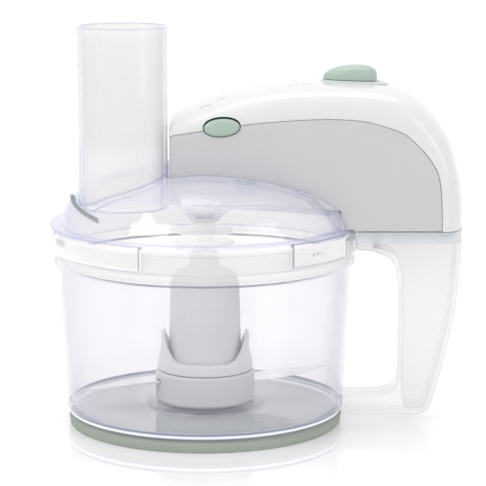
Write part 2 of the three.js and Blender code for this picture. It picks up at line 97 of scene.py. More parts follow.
class Finish:
    """A material and the tree that it is made of."""

    def __init__(self, name):
        self.material = bpy.data.materials.new(name)
        self.material.use_nodes = True
        self.tree = self.material.node_tree
        self.tree.nodes.clear()

    def node(self, kind, settings=None, sockets=None):
        made = self.tree.nodes.new(kind)
        for key, value in (settings or {}).items():
            if key == "stops":
                for element, (place, colour) in zip(made.color_ramp.elements, value):
                    element.position, element.color = place, (*colour, 1)
            else:
                setattr(made, key, value)
        for key, value in (sockets or {}).items():
            if isinstance(value, Field):
                self.tree.links.new(value.socket, made.inputs[key])
            else:
                made.inputs[key].default_value = value
        return Node(self, made)

    def place(self):
        return self.node("ShaderNodeTexCoord").out("Object")

    def noise(self, scale, detail=2.0, stretch=None):
        where = self.place()
        if stretch:
            where = self.node("ShaderNodeMapping", None, {"Vector": where, "Scale": stretch}).out("Vector")
        sockets = {"Vector": where, "Scale": scale, "Detail": detail}
        return self.node("ShaderNodeTexNoise", None, sockets).out("Fac")

    def bump(self, height, distance, strength=1.0):
        sockets = {"Height": height, "Distance": distance, "Strength": strength}
        return self.node("ShaderNodeBump", None, sockets).out("Normal")

    def surface(self, shader):
        output = self.tree.nodes.new("ShaderNodeOutputMaterial")
        self.tree.links.new(shader.socket, output.inputs["Surface"])
        return self.material


# %% [markdown]
# ## Moulded plastics
# The cover is polished ABS, the panels and controls come from a lightly spark-eroded mould, so
# they scatter more. Both get a fine bump, a slow wave as thick mouldings have, and a roughness
# that drifts a little, because no moulding is perfectly even.

# %% Opaque plastic
def plastic(name, colour, roughness, grain=0.00002, coat=0.0, tint=0.02, painted_glow=0.0):
    f = Finish(name)
    fine, slow = f.noise(1600, 3), f.noise(35, 2)
    ramp = {"stops": [(0.3, [c * (1 - tint) for c in colour]), (0.7, colour)]}
    mottle = f.node("ShaderNodeValToRGB", ramp, {"Fac": slow}).out("Color")
    normal = f.bump(fine + slow * 2.0, grain, 0.6)
    sockets = {
        "Base Color": mottle,
        "Roughness": fine * 0.1 + slow * 0.06 + (roughness - 0.08),
        "Coat Weight": coat,
        "Coat Roughness": 0.06,
        "Emission Color": (1, 1, 1, 1),
        # painted glow: emission that makes the surface brighter than its lighting makes it
        "Emission Strength": painted_glow,
        "Normal": normal,
    }
    return f.surface(f.node("ShaderNodeBsdfPrincipled", None, sockets).out("BSDF"))


white_abs = plastic("white_abs", (0.775, 0.775, 0.77), 0.24, 0.000008, coat=0.5)
grey_panel = plastic("grey_panel", (0.60, 0.605, 0.615), 0.5, 0.00003)
mint_control = plastic("mint_control", (0.42, 0.53, 0.46), 0.36, 0.00002, coat=0.2)
mint_pale = plastic("mint_pale", (0.62, 0.68, 0.64), 0.42)
column_grey = plastic("column_grey", (0.80, 0.80, 0.81), 0.42)
hub_white = plastic("hub_white", (0.74, 0.76, 0.75), 0.38)
collar_white = plastic("collar_white", (0.88, 0.88, 0.87), 0.34)
# The acetal coupler gets a painted glow, emission that makes it brighter than its lighting makes it.
acetal = plastic("acetal", (0.9, 0.9, 0.89), 0.3, painted_glow=0.16)
dark_nylon = plastic("dark_nylon", (0.05, 0.055, 0.06), 0.45)
board_green = plastic("board_green", (0.03, 0.14, 0.06), 0.5)
black_rubber = plastic("black_rubber", (0.022, 0.022, 0.023), 0.75, 0.00006)
mat_rubber = plastic("mat_rubber", (0.38, 0.42, 0.37), 0.72, 0.00008, tint=0.06)
print("plastics:", len(bpy.data.materials))

# %% [markdown]
# ## Clear plastic
# The bowl, lid and handle are clear styrene. Seen square on, a wall is almost invisible; seen at a
# slant it shows more of its own cool tint and mirrors the room. Real refraction through eight
# walls would be slow and noisy, so Layer Weight gives the slant instead and drives the alpha. A
# clean mirror is mixed over it by the fifth power of the slant, and a Bevel node finds corners,
# where a thick moulding looks darker. Bands tint chosen heights: some where the walls are thicker,
# one a dark painted shade line under the bowl's collar step, and one a painted highlight line round
# the bowl's foot between two darker bands. Each wall also gets a painted glow, emission in its own
# colour that makes it brighter than its lighting makes it.

# %% Clear and milky walls
def mixed(f, share, first, second):
    """Colour that goes from first to second."""
    ends = [c if isinstance(c, Field) else (*c, 1) for c in (first, second)]
    settings = {"data_type": "RGBA"}
    return f.node("ShaderNodeMix", settings, {0: share, 6: ends[0], 7: ends[1]}).out(2)


CORNER_REACH = 1.6 * MM
MIRROR_SQUARE_ON, MIRROR_SLANT = 0.035, 0.75


def clear_plastic(name, face, edge, least, most, bend=2.4, corner=0.5, painted_glow=0.12, bands=()):
    """A wall of colour `face` seen square on and `edge` seen at a slant or along a corner.

    Its alpha goes from `least` to `most`, and its emission strength is a painted glow
    that stands in for the light the wall passes on.
    A band is (height, half height, softness, colour, alpha), the first three in millimetres.
    """
    f = Finish(name)
    slant = f.node("ShaderNodeLayerWeight", None, {"Blend": 0.5}).out("Facing")
    ripple = f.noise(22, 2)
    normal = f.bump(ripple, 0.0005, 0.25)
    depth = slant ** bend
    if corner:
        soft = f.node("ShaderNodeBevel", {"samples": 4}, {"Radius": CORNER_REACH}).out("Normal")
        true = f.node("ShaderNodeNewGeometry").out("Normal")
        settings, sockets = {"operation": "DOT_PRODUCT"}, {0: soft, 1: true}
        meet = f.node("ShaderNodeVectorMath", settings, sockets).out("Value")
        depth = depth.math("ADD", (1 - meet) * (corner * 5), clamp=True)
    alpha, colour = depth * (most - least) + least, mixed(f, depth, face, edge)
    height = f.node("ShaderNodeSeparateXYZ", None, {0: f.place()}).out("Z")
    for level, half, softness, tint, strength in bands:
        away = (height + -level * MM).math("ABSOLUTE")
        inside = ((half * MM - away) * (1 / (softness * MM))).math("MULTIPLY", 1, clamp=True)
        alpha = alpha.math("ADD", inside * strength, clamp=True)
        colour = mixed(f, inside, colour, tint)
    body = f.node("ShaderNodeBsdfPrincipled", None, {
        "Base Color": colour, "Roughness": ripple * 0.05 + 0.12, "Alpha": alpha, "Normal": normal,
        # painted glow: emission in the wall's own colour
        "Emission Color": colour, "Emission Strength": painted_glow,
    }).out("BSDF")
    gloss = f.node("ShaderNodeBsdfPrincipled", None, {
        "Base Color": (0.97, 0.97, 1.0, 1), "Metallic": 1.0, "Roughness": 0.03, "Normal": normal,
    }).out("BSDF")
    share = slant ** 5 * MIRROR_SLANT + MIRROR_SQUARE_ON
    return f.surface(f.node("ShaderNodeMixShader", None, {0: share, 1: body, 2: gloss}).out("Shader"))


PALE, LAVENDER = (0.97, 0.97, 1.0), (0.27, 0.28, 0.53)
clear_bowl = clear_plastic(
    "clear_bowl", (0.56, 0.54, 0.67), (0.60, 0.61, 0.72), 0.07, 0.45, bend=3.4, painted_glow=0.05, bands=[
        # painted shade: a dark line under the collar step
        (101.7, 0.55, 0.3, (0.20, 0.21, 0.24), 0.85),
        (111.5, 8.6, 0.6, (0.82, 0.82, 0.82), 0.24),
        (9.6, 2.4, 1.2, (0.68, 0.71, 0.74), 0.24)])
bowl_foot = clear_plastic("bowl_foot", (0.70, 0.73, 0.82), (0.55, 0.58, 0.70), 0.45, 0.8, corner=0, bands=[
    # the middle band is a painted highlight line; the bands below and above it make the foot darker beside
    # it
    (8.1, 0.7, 0.4, (0.20, 0.22, 0.30), 0.4),
    (9.7, 0.9, 0.5, (0.92, 0.94, 1.0), 0.5),
    (11.4, 0.8, 0.4, (0.24, 0.26, 0.36), 0.35)])
clear_lid = clear_plastic("clear_lid", PALE, LAVENDER, 0.09, 0.9, bend=2.0, corner=2.4, painted_glow=0.1, bands=[
    (116, 8, 1, (0.95, 0.95, 0.95), 0.14),
    (212, 42, 12, (0.75, 0.73, 0.72), 0.0)])
clear_handle = clear_plastic(
    "clear_handle", (0.93, 0.93, 0.935), (0.60, 0.62, 0.69), 0.27, 0.8, corner=0.8, painted_glow=0.05, bands=[
        (121.5, 3.4, 0.8, (0.72, 0.76, 0.79), 0.30)])
milky_pusher = clear_plastic(
    "milky_pusher", (0.95, 0.945, 0.93), (0.80, 0.795, 0.78), 0.28, 0.6, corner=0, painted_glow=0.06)
grip_tint = clear_plastic(
    "grip_tint", (0.34, 0.37, 0.36), (0.20, 0.22, 0.22), 0.6, 0.95, corner=0, painted_glow=0.02)
edge_tint = clear_plastic(
    "edge_tint", (0.30, 0.31, 0.38), (0.22, 0.23, 0.30), 0.45, 0.85, corner=0, painted_glow=0.02)
print("plastics with the clear ones:", len(bpy.data.materials))

# %% [markdown]
# ## Metals
# Blades are rolled and ground along their length, so their roughness and bump are noise that is
# stretched far along X. Turned shafts and bushes are smoother and get the same noise unstretched.

# %% Steel and brass
GRIND_DEPTH = 0.01 * MM


def metal(name, colour, roughness, stretch=(1, 1, 1)):
    f = Finish(name)
    lines = f.noise(900, 3, stretch)
    sockets = {
        "Base Color": (*colour, 1),
        "Metallic": 1.0,
        "Roughness": lines * 0.18 + (roughness - 0.09),
        "Normal": f.bump(lines, GRIND_DEPTH, 0.5),
    }
    return f.surface(f.node("ShaderNodeBsdfPrincipled", None, sockets).out("BSDF"))


blade_steel = metal("blade_steel", (0.86, 0.87, 0.88), 0.26, (0.04, 1, 1))
turned_steel = metal("turned_steel", (0.66, 0.67, 0.69), 0.28)
bush_brass = metal("bush_brass", (0.72, 0.52, 0.22), 0.32)

# %% [markdown]
# ## Making meshes
# Most mouldings here are turned about the bowl's axis, drawn as a side view and given a width, or
# lofted through rings. One function turns lists of points in millimetres into an object; the others
# only work out the points. Sharp corners of an outline are rounded by arcs before it is used.

# %% Mesh helpers
def make(name, points, faces, finish, sharp=32):
    mesh = bpy.data.meshes.new(name)
    mesh.from_pydata([[c * MM for c in p] for p in points], [], faces)
    made = bpy.data.objects.new(name, mesh)
    bpy.context.scene.collection.objects.link(made)
    tidy(made, sharp)
    mesh.materials.append(finish)
    return made


def tidy(made, sharp=32):
    """Merges doubles, points the faces outwards and shades smooth up to an angle."""
    b = bmesh.new()
    b.from_mesh(made.data)
    bmesh.ops.remove_doubles(b, verts=b.verts, dist=1e-6)
    bmesh.ops.dissolve_degenerate(b, edges=b.edges, dist=1e-7)
    bmesh.ops.recalc_face_normals(b, faces=b.faces)
    b.to_mesh(made.data)
    b.free()
    for face in made.data.polygons:
        face.use_smooth = True
    made.data.set_sharp_from_angle(angle=sharp * DEG)


def rounded(outline, radius, steps=5, closed=True):
    """Replaces each corner of a 2-D outline by an arc. A point may carry its own radius."""
    out, count = [], len(outline)
    for i, point in enumerate(outline):
        here = Vector(point[:2])
        size = point[2] if len(point) > 2 else radius
        if not closed and i in (0, count - 1):
            out.append(tuple(here))
            continue
        before, after = Vector(outline[i - 1][:2]) - here, Vector(outline[(i + 1) % count][:2]) - here
        if size <= 0 or before.length < 1e-6 or after.length < 1e-6:
            out.append(tuple(here))
            continue
        turn = before.angle(after)
        if turn > math.pi - 0.02:
            out.append(tuple(here))
            continue
        reach = min(size / math.tan(turn / 2), before.length * 0.49, after.length * 0.49)
        a, c = here + before.normalized() * reach, here + after.normalized() * reach
        for k in range(steps + 1):
            t = k / steps
            out.append(tuple((1 - t) ** 2 * a + 2 * t * (1 - t) * here + t * t * c))
    return out


def turned(name, profile, finish, radius=0.6, around=128, centre=(0, 0)):
    """Solid of revolution from [radius, height] points; it starts and ends on the axis or closes."""
    on_axis = profile[0][0] == 0 and profile[-1][0] == 0
    line = rounded(profile, radius, closed=not on_axis)
    points, faces = [], []
    for i in range(around):
        c, s = math.cos(2 * math.pi * i / around), math.sin(2 * math.pi * i / around)
        points += [(centre[0] + r * c, centre[1] + r * s, z) for r, z in line]
    n = len(line)
    for i in range(around):
        a, b = i * n, (i + 1) % around * n
        faces += [(a + j, b + j, b + j + 1, a + j + 1) for j in range(n - 1)]
        if not on_axis:
            faces.append((a + n - 1, b + n - 1, b, a))
    return make(name, points, faces, finish)


def loft(name, rings, finish, sharp=32):
    """Skin over a row of rings that have the same number of points, closed at both ends."""
    n, points = len(rings[0]), [p for ring in rings for p in ring]
    faces = [tuple(range(n)), tuple(range(len(points) - n, len(points)))]
    for a in range(0, len(points) - n, n):
        b = a + n
        faces += [(a + j, a + (j + 1) % n, b + (j + 1) % n, b + j) for j in range(n)]
    return make(name, points, faces, finish, sharp)


def side_prism(name, outline, low, high, finish, bevel=0.0):
    """XZ outline carried from y low to y high."""
    return soften(loft(name, [[(x, y, z) for x, z in outline] for y in (low, high)], finish), bevel)


def flat_prism(name, outline, low, high, finish, bevel=0.0):
    """XY outline carried from z low to z high."""
    return soften(loft(name, [[(x, y, z) for x, y in outline] for z in (low, high)], finish), bevel)


def oval(x, y, a, b, steps=64, power=2.0):
    """Ellipse about (x, y); a power above 2 squares it off."""
    out = []
    for i in range(steps):
        c, s = math.cos(2 * math.pi * i / steps), math.sin(2 * math.pi * i / steps)
        across = math.copysign(abs(c) ** (2 / power), c)
        along = math.copysign(abs(s) ** (2 / power), s)
        out.append((x + a * across, y + b * along))
    return out


def finished(made):
    """Bakes an object's modifiers into its mesh."""
    view = bpy.context.evaluated_depsgraph_get()
    mesh = bpy.data.meshes.new_from_object(made.evaluated_get(view))
    made.modifiers.clear()
    old, made.data = made.data, mesh
    bpy.data.meshes.remove(old)
    return made


def soften(made, width, steps=3, angle=35):
    """Rounds the edges that are sharper than an angle."""
    if width <= 0:
        return made
    bevel = made.modifiers.new("edge", "BEVEL")
    bevel.width, bevel.segments, bevel.limit_method = width * MM, steps, "ANGLE"
    bevel.angle_limit = angle * DEG
    bevel.use_clamp_overlap = True
    finished(made)
    tidy(made)
    return made


def carve(made, operation, *tools):
    """Cuts, joins or intersects with the tools, and removes them."""
    for tool in tools:
        step = made.modifiers.new("carve", "BOOLEAN")
        step.operation, step.solver, step.object = operation, "EXACT", tool
        finished(made)
        bpy.data.objects.remove(tool)
    tidy(made)
    return made


def settle(piece, body, slot, *nodes):
    """Hands a finished piece to the frame, on its body and in place of its plain nodes."""
    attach(piece, body)
    if nodes:
        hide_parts(*nodes)
    print(f"{piece.name}: {len(piece.data.polygons)} faces on {body}")
    return piece


# %% [markdown]
# ## Camera, light and floor
# A long lens from slightly above keeps the bowl's sides nearly upright. A bright, even room is what
# makes clear plastic read: it has something pale to mirror on every side, and its edges go darker.

# %% Camera
EYE = Vector((0.02373, -1.400, 0.364))
AIM_Z = 0.11184
PITCH = math.atan2(EYE.z - AIM_Z, -EYE.y)
camera_data = bpy.data.cameras.new("camera")
camera_data.angle = 12.11 * DEG
print("camera looks down by", round(PITCH / DEG, 1), "degrees")
camera = bpy.data.objects.new("camera", camera_data)
camera.location = EYE
camera.rotation_euler = (math.pi / 2 - PITCH, 0, 0)
bpy.context.scene.collection.objects.link(camera)
bpy.context.scene.camera = camera


# %% [markdown]
# ## Studio
# Product light is large and soft: a softbox on each side and one overhead, each a rectangle area
# lamp, inside a white room. The room could be a mesh, but a world colour lights all sides alike.

# %% Softboxes
def softbox(name, place, target, size, power):
    data = bpy.data.lights.new(name, "AREA")
    data.shape, data.size, data.size_y, data.energy = "RECTANGLE", *size, power
    lamp = bpy.data.objects.new(name, data)
    lamp.location = place
    lamp.rotation_euler = (Vector(target) - Vector(place)).to_track_quat("-Z", "Y").to_euler()
    bpy.context.scene.collection.objects.link(lamp)


BOWL_MIDDLE = (0, 0, 0.1)
softbox("key", (-1.1, -0.9, 1.5), BOWL_MIDDLE, (1.0, 0.8), 9)
softbox("fill", (1.4, -1.0, 0.9), BOWL_MIDDLE, (0.8, 1.2), 4)
softbox("top", (0.1, 0.5, 1.7), BOWL_MIDDLE, (1.4, 0.7), 6)


# %% White room
def white_room(seen, felt):
    """A white room that is brighter in sight and in reflections than it shines on the object."""
    world = bpy.data.worlds.new("room")
    world.use_nodes = True
    nodes, links = world.node_tree.nodes, world.node_tree.links
    ray, strength = nodes.new("ShaderNodeLightPath"), nodes.new("ShaderNodeMapRange")
    strength.inputs["To Min"].default_value, strength.inputs["To Max"].default_value = felt, seen
    either = nodes.new("ShaderNodeMath")
    either.operation = "MAXIMUM"
    links.new(ray.outputs["Is Camera Ray"], either.inputs[0])
    links.new(ray.outputs["Is Glossy Ray"], either.inputs[1])
    links.new(either.outputs[0], strength.inputs["Value"])
    links.new(strength.outputs[0], nodes["Background"].inputs["Strength"])
    nodes["Background"].inputs["Color"].default_value = (1, 1, 1, 1)
    bpy.context.scene.world = world


white_room(1.04, 0.80)
bpy.context.scene.view_settings.view_transform = "Standard"
bpy.context.scene.cycles.transparent_max_bounces = 40


# %% Floor
def floor_finish():
    """Glossy white sheet that mirrors the foot of the object faintly."""
    f = Finish("floor_white")
    grain = f.noise(60, 2)
    return f.surface(f.node("ShaderNodeBsdfPrincipled", None, {
        "Base Color": (0.86, 0.865, 0.87, 1), "Roughness": grain * 0.02 + 0.035,
        "Specular IOR Level": 1.0, "Emission Color": (1, 1, 1, 1), "Emission Strength": 0.12,
    }).out("BSDF"))


FLOOR_R, FLOOR_DEPTH = 9000, 20
floor = flat_prism("floor", oval(0, 0, FLOOR_R, FLOOR_R, 96), -FLOOR_DEPTH, 0, floor_finish())

# %% [markdown]
# ## Mat
# The bowl stands on a soft non-slip mat, a flat disc with a rounded rim. A cylinder with a bevel
# would do, but a turned side view lets the rim be fuller below than above.

# %% Mat
mat_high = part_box("mat")[1]
MAT_R, MAT_TOP = mat_high.x / MM, mat_high.z / MM
mat = turned("non_slip_mat", [
    (0, 0), (MAT_R - 0.6, 0, 1.2), (MAT_R, 3.2, 2), (MAT_R, 5.4, 1.2), (MAT_R - 2.2, MAT_TOP, 1.5),
    (0, MAT_TOP)], mat_rubber, around=160)
settle(mat, "bowl_unit", "mat_rubber", "mat")

# %% [markdown]
# ## Bowl
# A thin clear wall that widens upwards, a stepped collar the lid sits in, and a low plinth in the
# middle of the floor with the boss that holds the spindle. All of it is one turned moulding, so one
# profile gives it, walked out along the foot, up the outside and back down the inside.

# %% Bowl
bowl_low, bowl_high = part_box("bowl")
RIM_R, RIM_Z, FOOT_Z = bowl_high.x / MM, bowl_high.z / MM, bowl_low.z / MM
STEP_Z = 102.4
bowl = turned("clear_bowl_shell", [
    (0, FOOT_Z), (82.5, FOOT_Z, 2), (85.3, 9.4, 2), (85.7, 12, 4), (88.4, 50, 60), (90.7, 84, 60),
    (90.8, STEP_Z - 1.4, 1), (RIM_R - 0.6, STEP_Z, 0.8), (RIM_R - 0.1, STEP_Z + 1.2, 0.6),
    (RIM_R - 0.1, RIM_Z, 0.8), (92.1, RIM_Z, 0.8), (91.9, 105, 1.5), (88.7, 101.4, 1.5),
    (88.5, 84, 60), (86.1, 50, 60), (83.5, 14, 3), (81.6, 10.2, 2.5), (37.5, 10.2, 1), (36, 12.4, 1.2),
    (8.2, 12.4, 1), (7, 20, 0.6), (3.4, 20, 0.4), (3.4, 11.2), (0, 11.2)], clear_bowl, around=192)
settle(bowl, "bowl_unit", "clear_plastic", "bowl")
foot = turned("bowl_foot_ring", [
    (84.7, FOOT_Z + 0.2), (85.4, 9.0), (85.9, 12.4), (85.5, 12.4), (84.6, 9)], bowl_foot, 0.1, 192)
settle(foot, "bowl_unit", "clear_plastic")

# %% [markdown]
# ## Handle
# The handle is a hollow clear moulding: a D-shaped loop with a saddle on top that carries the
# motor unit. It could be a thin shell, but a solid loop drawn as a side view, with a smaller copy
# taken out of its inside, gives true walls that overlap to the eye. The bowl's side is then taken
# away, so the handle meets the round wall, and a hole is left for the interlock pin.

# %% Handle
SADDLE_LOW, SADDLE_TOP, TRAY_FLOOR = 118.0, 124.7, 121.2
BACK_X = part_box("handle")[1].x / MM
HANDLE_W, HANDLE_WALL = 13, 2.2
PIN_X = 107
loop = [(88, SADDLE_LOW + 0.6), (BACK_X, SADDLE_LOW + 0.6), (158.2, 106, 20), (155.8, 76.6, 60),
        (152.5, 57, 60), (148.4, 38.9, 60), (144.3, 23.6, 40), (139.6, 8, 6), (132, 4.9, 8), (84, 5.8),
        (84, 17.2), (106, 17.6, 20), (119.4, 19.6, 8), (120.1, 34, 10), (120.1, 84, 20),
        (117.6, 103, 14), (104, 108.6, 16), (88, 109.8)]
grip = side_prism("clear_handle_shell", rounded(loop, 2), -HANDLE_W, HANDLE_W, clear_handle, 2.4)
hollow = [(98, 115.6), (155.4, 115.6), (155.2, 104, 10), (152.8, 76, 40), (149.4, 57, 40),
          (145.2, 38.9, 40), (140.6, 22, 20), (136.6, 9.6, 4), (124, 8.2, 4), (122.8, 22, 8),
          (122.6, 90, 20), (119, 106, 10), (104, 112, 10)]
plan = [(92, -36), (150, -36, 10), (157, -30, 14), (BACK_X, -12, 20),
        (BACK_X, 12, 20), (157, 30, 14), (150, 36, 10), (92, 36)]
tray = [(90, -33.6), (148.6, -33.6, 9), (154.4, -28.6, 12), (156.2, -12, 18),
        (156.2, 12, 18), (154.4, 28.6, 12), (148.6, 33.6, 9), (90, 33.6)]
bowl_side = [(0, -5), (85.5, -5), (85.5, 8.2), (86, 11), (88.8, 50), (91.1, 84), (91.1, 101),
             (94.8, 102), (94.8, 119), (97, 119.4), (97, 140), (0, 140)]
inner_w = HANDLE_W - HANDLE_WALL
saddle = flat_prism("saddle", rounded(plan, 1, 6), SADDLE_LOW - 0.2, SADDLE_TOP, clear_handle)
carve(grip, "UNION", saddle)
carve(grip, "DIFFERENCE",
      flat_prism("tray", rounded(tray, 1, 6), TRAY_FLOOR, 130, clear_handle),
      side_prism("hollow", rounded(hollow, 2), -inner_w, inner_w, clear_handle, 1.5),
      turned("bowl_room", bowl_side, clear_handle, 0),
      turned("pin_hole", [(0, 108.6), (2.7, 108.6), (2.7, 130), (0, 130)], clear_handle, 0, 32, (PIN_X, 0)))
settle(grip, "bowl_unit", "clear_plastic", "handle")

# %% [markdown]
# ## Lid
# The lid is a clear dome cut by a wide channel that the arm lies in, with a deep cup at the centre
# for the drive, an oval feed tube, a flange and a skirt. The dome and its inside are turned shapes;
# the channel is a prism taken out of the outside, and a prism larger by the wall out of what is
# taken from the inside, so the wall stays even all round. Two cheeks beside the channel close the
# gap next to the arm's side panels.

# %% Dome and channel
lid_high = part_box("lid")[1]
FLANGE_R, TUBE_TOP = lid_high.x / MM, lid_high.z / MM
WALL = 2.3
CHANNEL_W, CHANNEL_X = 40.0, -22.5


def under_arm(x):
    """Height of the arm's sloping underside."""
    return 145.2 - 0.0707 * (x + 18)


def channel(grow):
    """The room that the arm lies in, made larger all round by `grow`."""
    x0, x1 = CHANNEL_X - grow, 130
    floor_z = [under_arm(x) - 1.2 - grow for x in (x0, x1)]
    rings = []
    for x, z in ((x0, floor_z[0]), (x1, floor_z[1])):
        w = CHANNEL_W + grow
        corner = 3.5 + grow
        line = [(-w, 260, 0), (-w, z, corner), (w, z, corner), (w, 260, 0)]
        rings.append([(x, y, h) for y, h in rounded(line, corner, 6)])
    return loft("channel", rings, clear_lid)


cheek_line = [(56, 125), (56, 151.8), (60, 151), (65, 148.9), (70, 146.4), (76, 143), (80, 140, 3),
              (83, 135.5, 3), (84.9, 130.5, 2), (85.3, 125)]
dome = [(0, 108), (91.2, 108, 0.8), (91.2, 122.3, 0.3), (95, 122.3, 0.4), (FLANGE_R, 123, 0.6),
        (FLANGE_R, 125.6, 0.8), (94.4, 126, 0.8), (89.4, 126.2, 1.2), (88.2, 130.7, 3),
        (84.8, 137.5, 5), (80, 143.8, 7), (75.5, 148.2, 6), (65, 152.8, 20), (53, 156.8, 30),
        (40, 160.2, 30), (20, 163.2, 30), (0, 164)]
under_dome = [(0, 100), (89.3, 100, 0), (89.3, 121, 1.5), (87, 124.4, 1.5), (85.9, 130.3, 3),
              (82.4, 136.8, 5), (77.8, 142.6, 6), (74.2, 145.9, 6), (64, 150.4, 20), (52, 154.3, 30),
              (39, 157.7, 30), (20, 160.8, 30), (0, 161.7)]
lid = turned("clear_lid_shell", dome, clear_lid, around=160)
inside = turned("inside", under_dome, clear_lid, around=160)
cheeks = [side_prism("cheek", rounded(cheek_line, 0.8), *y, clear_lid) for y in ((-42.3, -39), (39, 42.3))]
carve(lid, "UNION", *cheeks)
carve(lid, "DIFFERENCE", channel(0))
carve(inside, "DIFFERENCE", channel(WALL))
carve(lid, "DIFFERENCE", inside)
print("dome faces:", len(lid.data.polygons))

# %% [markdown]
# ## Feed tube, cup and lock tabs
# The tube is an oval loft with a thickened lip and a flared root. The lock tabs are short curved
# plates on the flange that grip the collar, so each is lofted along an arc.

# %% Feed tube and cup
TUBE_X, TUBE_Y, TUBE_A, TUBE_B = -48.7, -27, 27.3, 24


def oval_rings(levels, steps=72):
    """Rings of the feed tube's oval: each level is (height, how much larger or smaller)."""
    rings = []
    for z, grow in levels:
        plan = oval(TUBE_X, TUBE_Y, TUBE_A + grow, TUBE_B + grow, steps)
        rings.append([(x, y, z) for x, y in plan])
    return rings


tube = loft("tube", oval_rings([
    (138.6, -0.9), (139, -0.5), (143, -0.5), (200, -0.3), (244, -0.15), (245, -0.02),
    (TUBE_TOP - 0.6, -0.02), (TUBE_TOP, -0.6)]), clear_lid, 50)
bore = loft("bore", oval_rings([
    (120, -3), (242, -2.5), (247, -2.4), (249.2, -1.6), (260, -1.6)]), clear_lid)
cup = turned("cup", [
    (0, 128.6), (11.5, 128.6, 2), (20.2, 137.4, 2), (20.2, 141.6), (0, 141.6)], clear_lid, 1, 96)
cup_room = turned("cup_room", [
    (0, 130.8), (9.6, 130.8, 1.5), (18, 138.6, 3), (18.2, 170), (0, 170)], clear_lid, 1, 96)
shaft_hole = turned("shaft_hole", [(0, 110), (6.2, 110), (6.2, 150), (0, 150)], clear_lid, 0, 48)


# %% Lock tabs and latch windows
def arc_plate(name, inner, outer, low, high, start, end, finish, edge=0.5):
    """Curved plate between two azimuths in degrees."""
    steps = max(4, int(abs(end - start) / 2))
    line = rounded([(inner, low), (outer, low), (outer, high), (inner, high)], edge, 3)
    rings = []
    for i in range(steps + 1):
        t = (start + (end - start) * i / steps) * DEG
        rings.append([(r * math.cos(t), r * math.sin(t), z) for r, z in line])
    return loft(name, rings, finish)


LATCH_X, WINDOW_Z, WINDOW_R = 25.5, 155.6, 6.4


def latch_window(side):
    """Half-round notch in the channel's side that the arm's latch lug drops into."""
    angles = [t * DEG for t in range(180, 361, 12)]
    line = [(LATCH_X + WINDOW_R * math.cos(t), WINDOW_Z + WINDOW_R * math.sin(t)) for t in angles]
    y = sorted((side * 39.4, side * 42.5))
    return side_prism("window", line, *y, clear_lid)


carve(lid, "UNION", tube, cup)
carve(lid, "DIFFERENCE", bore, cup_room, shaft_hole, latch_window(-1), latch_window(1))
carve(lid, "UNION", arc_plate("tab", 94.9, 96.4, 111, 125.4, -57, -28, clear_lid),
      arc_plate("tab", 94.9, 96.4, 111, 125.4, -160, -112, clear_lid))
settle(lid, "lid_unit", "clear_plastic", "lid")

# %% [markdown]
# ## Seal and pusher
# A thin ring of soft plastic seals the lid on the bowl's rim: a turned square. The pusher is a
# milky cup that slides in the feed tube, so it uses the tube's own oval, made smaller, with a
# second loft taken out of it.

# %% Sealing ring
seal = turned("lid_sealing_ring", [
    (92.3, 120.5), (94.1, 120.5), (94.1, 122), (92.3, 122)], milky_pusher, 0.4, 160)
settle(seal, "lid_unit", "milky_plastic", "lid_seal")

# %% Pusher
PUSHER_LOW, PUSHER_TOP = [corner.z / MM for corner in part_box("pusher")]
pusher = loft("pusher_cup", oval_rings([
    (PUSHER_LOW, -5), (PUSHER_LOW + 1.2, -3.8), (PUSHER_LOW + 4, -3.3), (PUSHER_TOP - 1, -3.2),
    (PUSHER_TOP, -3.7)]), milky_pusher, 50)
pusher_room = loft("pusher_room", oval_rings([
    (PUSHER_LOW + 2.4, -7), (PUSHER_LOW + 5, -5.2), (PUSHER_TOP - 1, -5), (260, -4.6)]), milky_pusher)
carve(pusher, "DIFFERENCE", pusher_room)
settle(pusher, "pusher_unit", "milky_plastic", "pusher")

# %% [markdown]
# ## Drive coupler
# Under the lid a white spool carries the drive down to the blades. Its two thin discs sling off
# anything that climbs the shaft. The spool is turned in one piece; a six-sided socket and nose
# then lock it to the drive above and to the tool below.

# %% Coupler
NOSE_Z, SOCKET_Z = [corner.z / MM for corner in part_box("lid_coupler")]
STEM_R, DISC_R = 5.4, 18.5


def slinger(low):
    """Side view of one thin disc on the spool's stem, from its lower root to its upper one."""
    return [(STEM_R, low, 0.4), (DISC_R - 0.7, low + 0.1, 0.3), (DISC_R, low + 0.8, 0.3),
            (DISC_R - 0.7, low + 1.5, 0.3), (STEM_R, low + 1.6, 0.4)]


coupler = turned("drive_coupler", [
    (0, 106.6), (STEM_R, 106.6, 0.5), *slinger(111.7), *slinger(118.9), (STEM_R, 132.8, 0.5),
    (10, 132.8, 0.6), (10.6, 134.2, 0.5), (10.6, SOCKET_Z, 0.5), (0, SOCKET_Z)], acetal, 0.4, 96)
carve(coupler, "DIFFERENCE", flat_prism("socket", oval(0, 0, 7.4, 7.4, 6), 134.6, 150, acetal))
carve(coupler, "UNION", flat_prism("nose", oval(0, 0, 4.9, 4.9, 6), NOSE_Z, 107, acetal))
settle(coupler, "coupler", "white_plastic", "lid_coupler")

# %% [markdown]
# ## Blade column
# The column is a hollow moulding that drops over the bowl's spindle. A drum clamps the two blades
# at its foot, and a white collar with two ears gives the fingers something to lift it by.

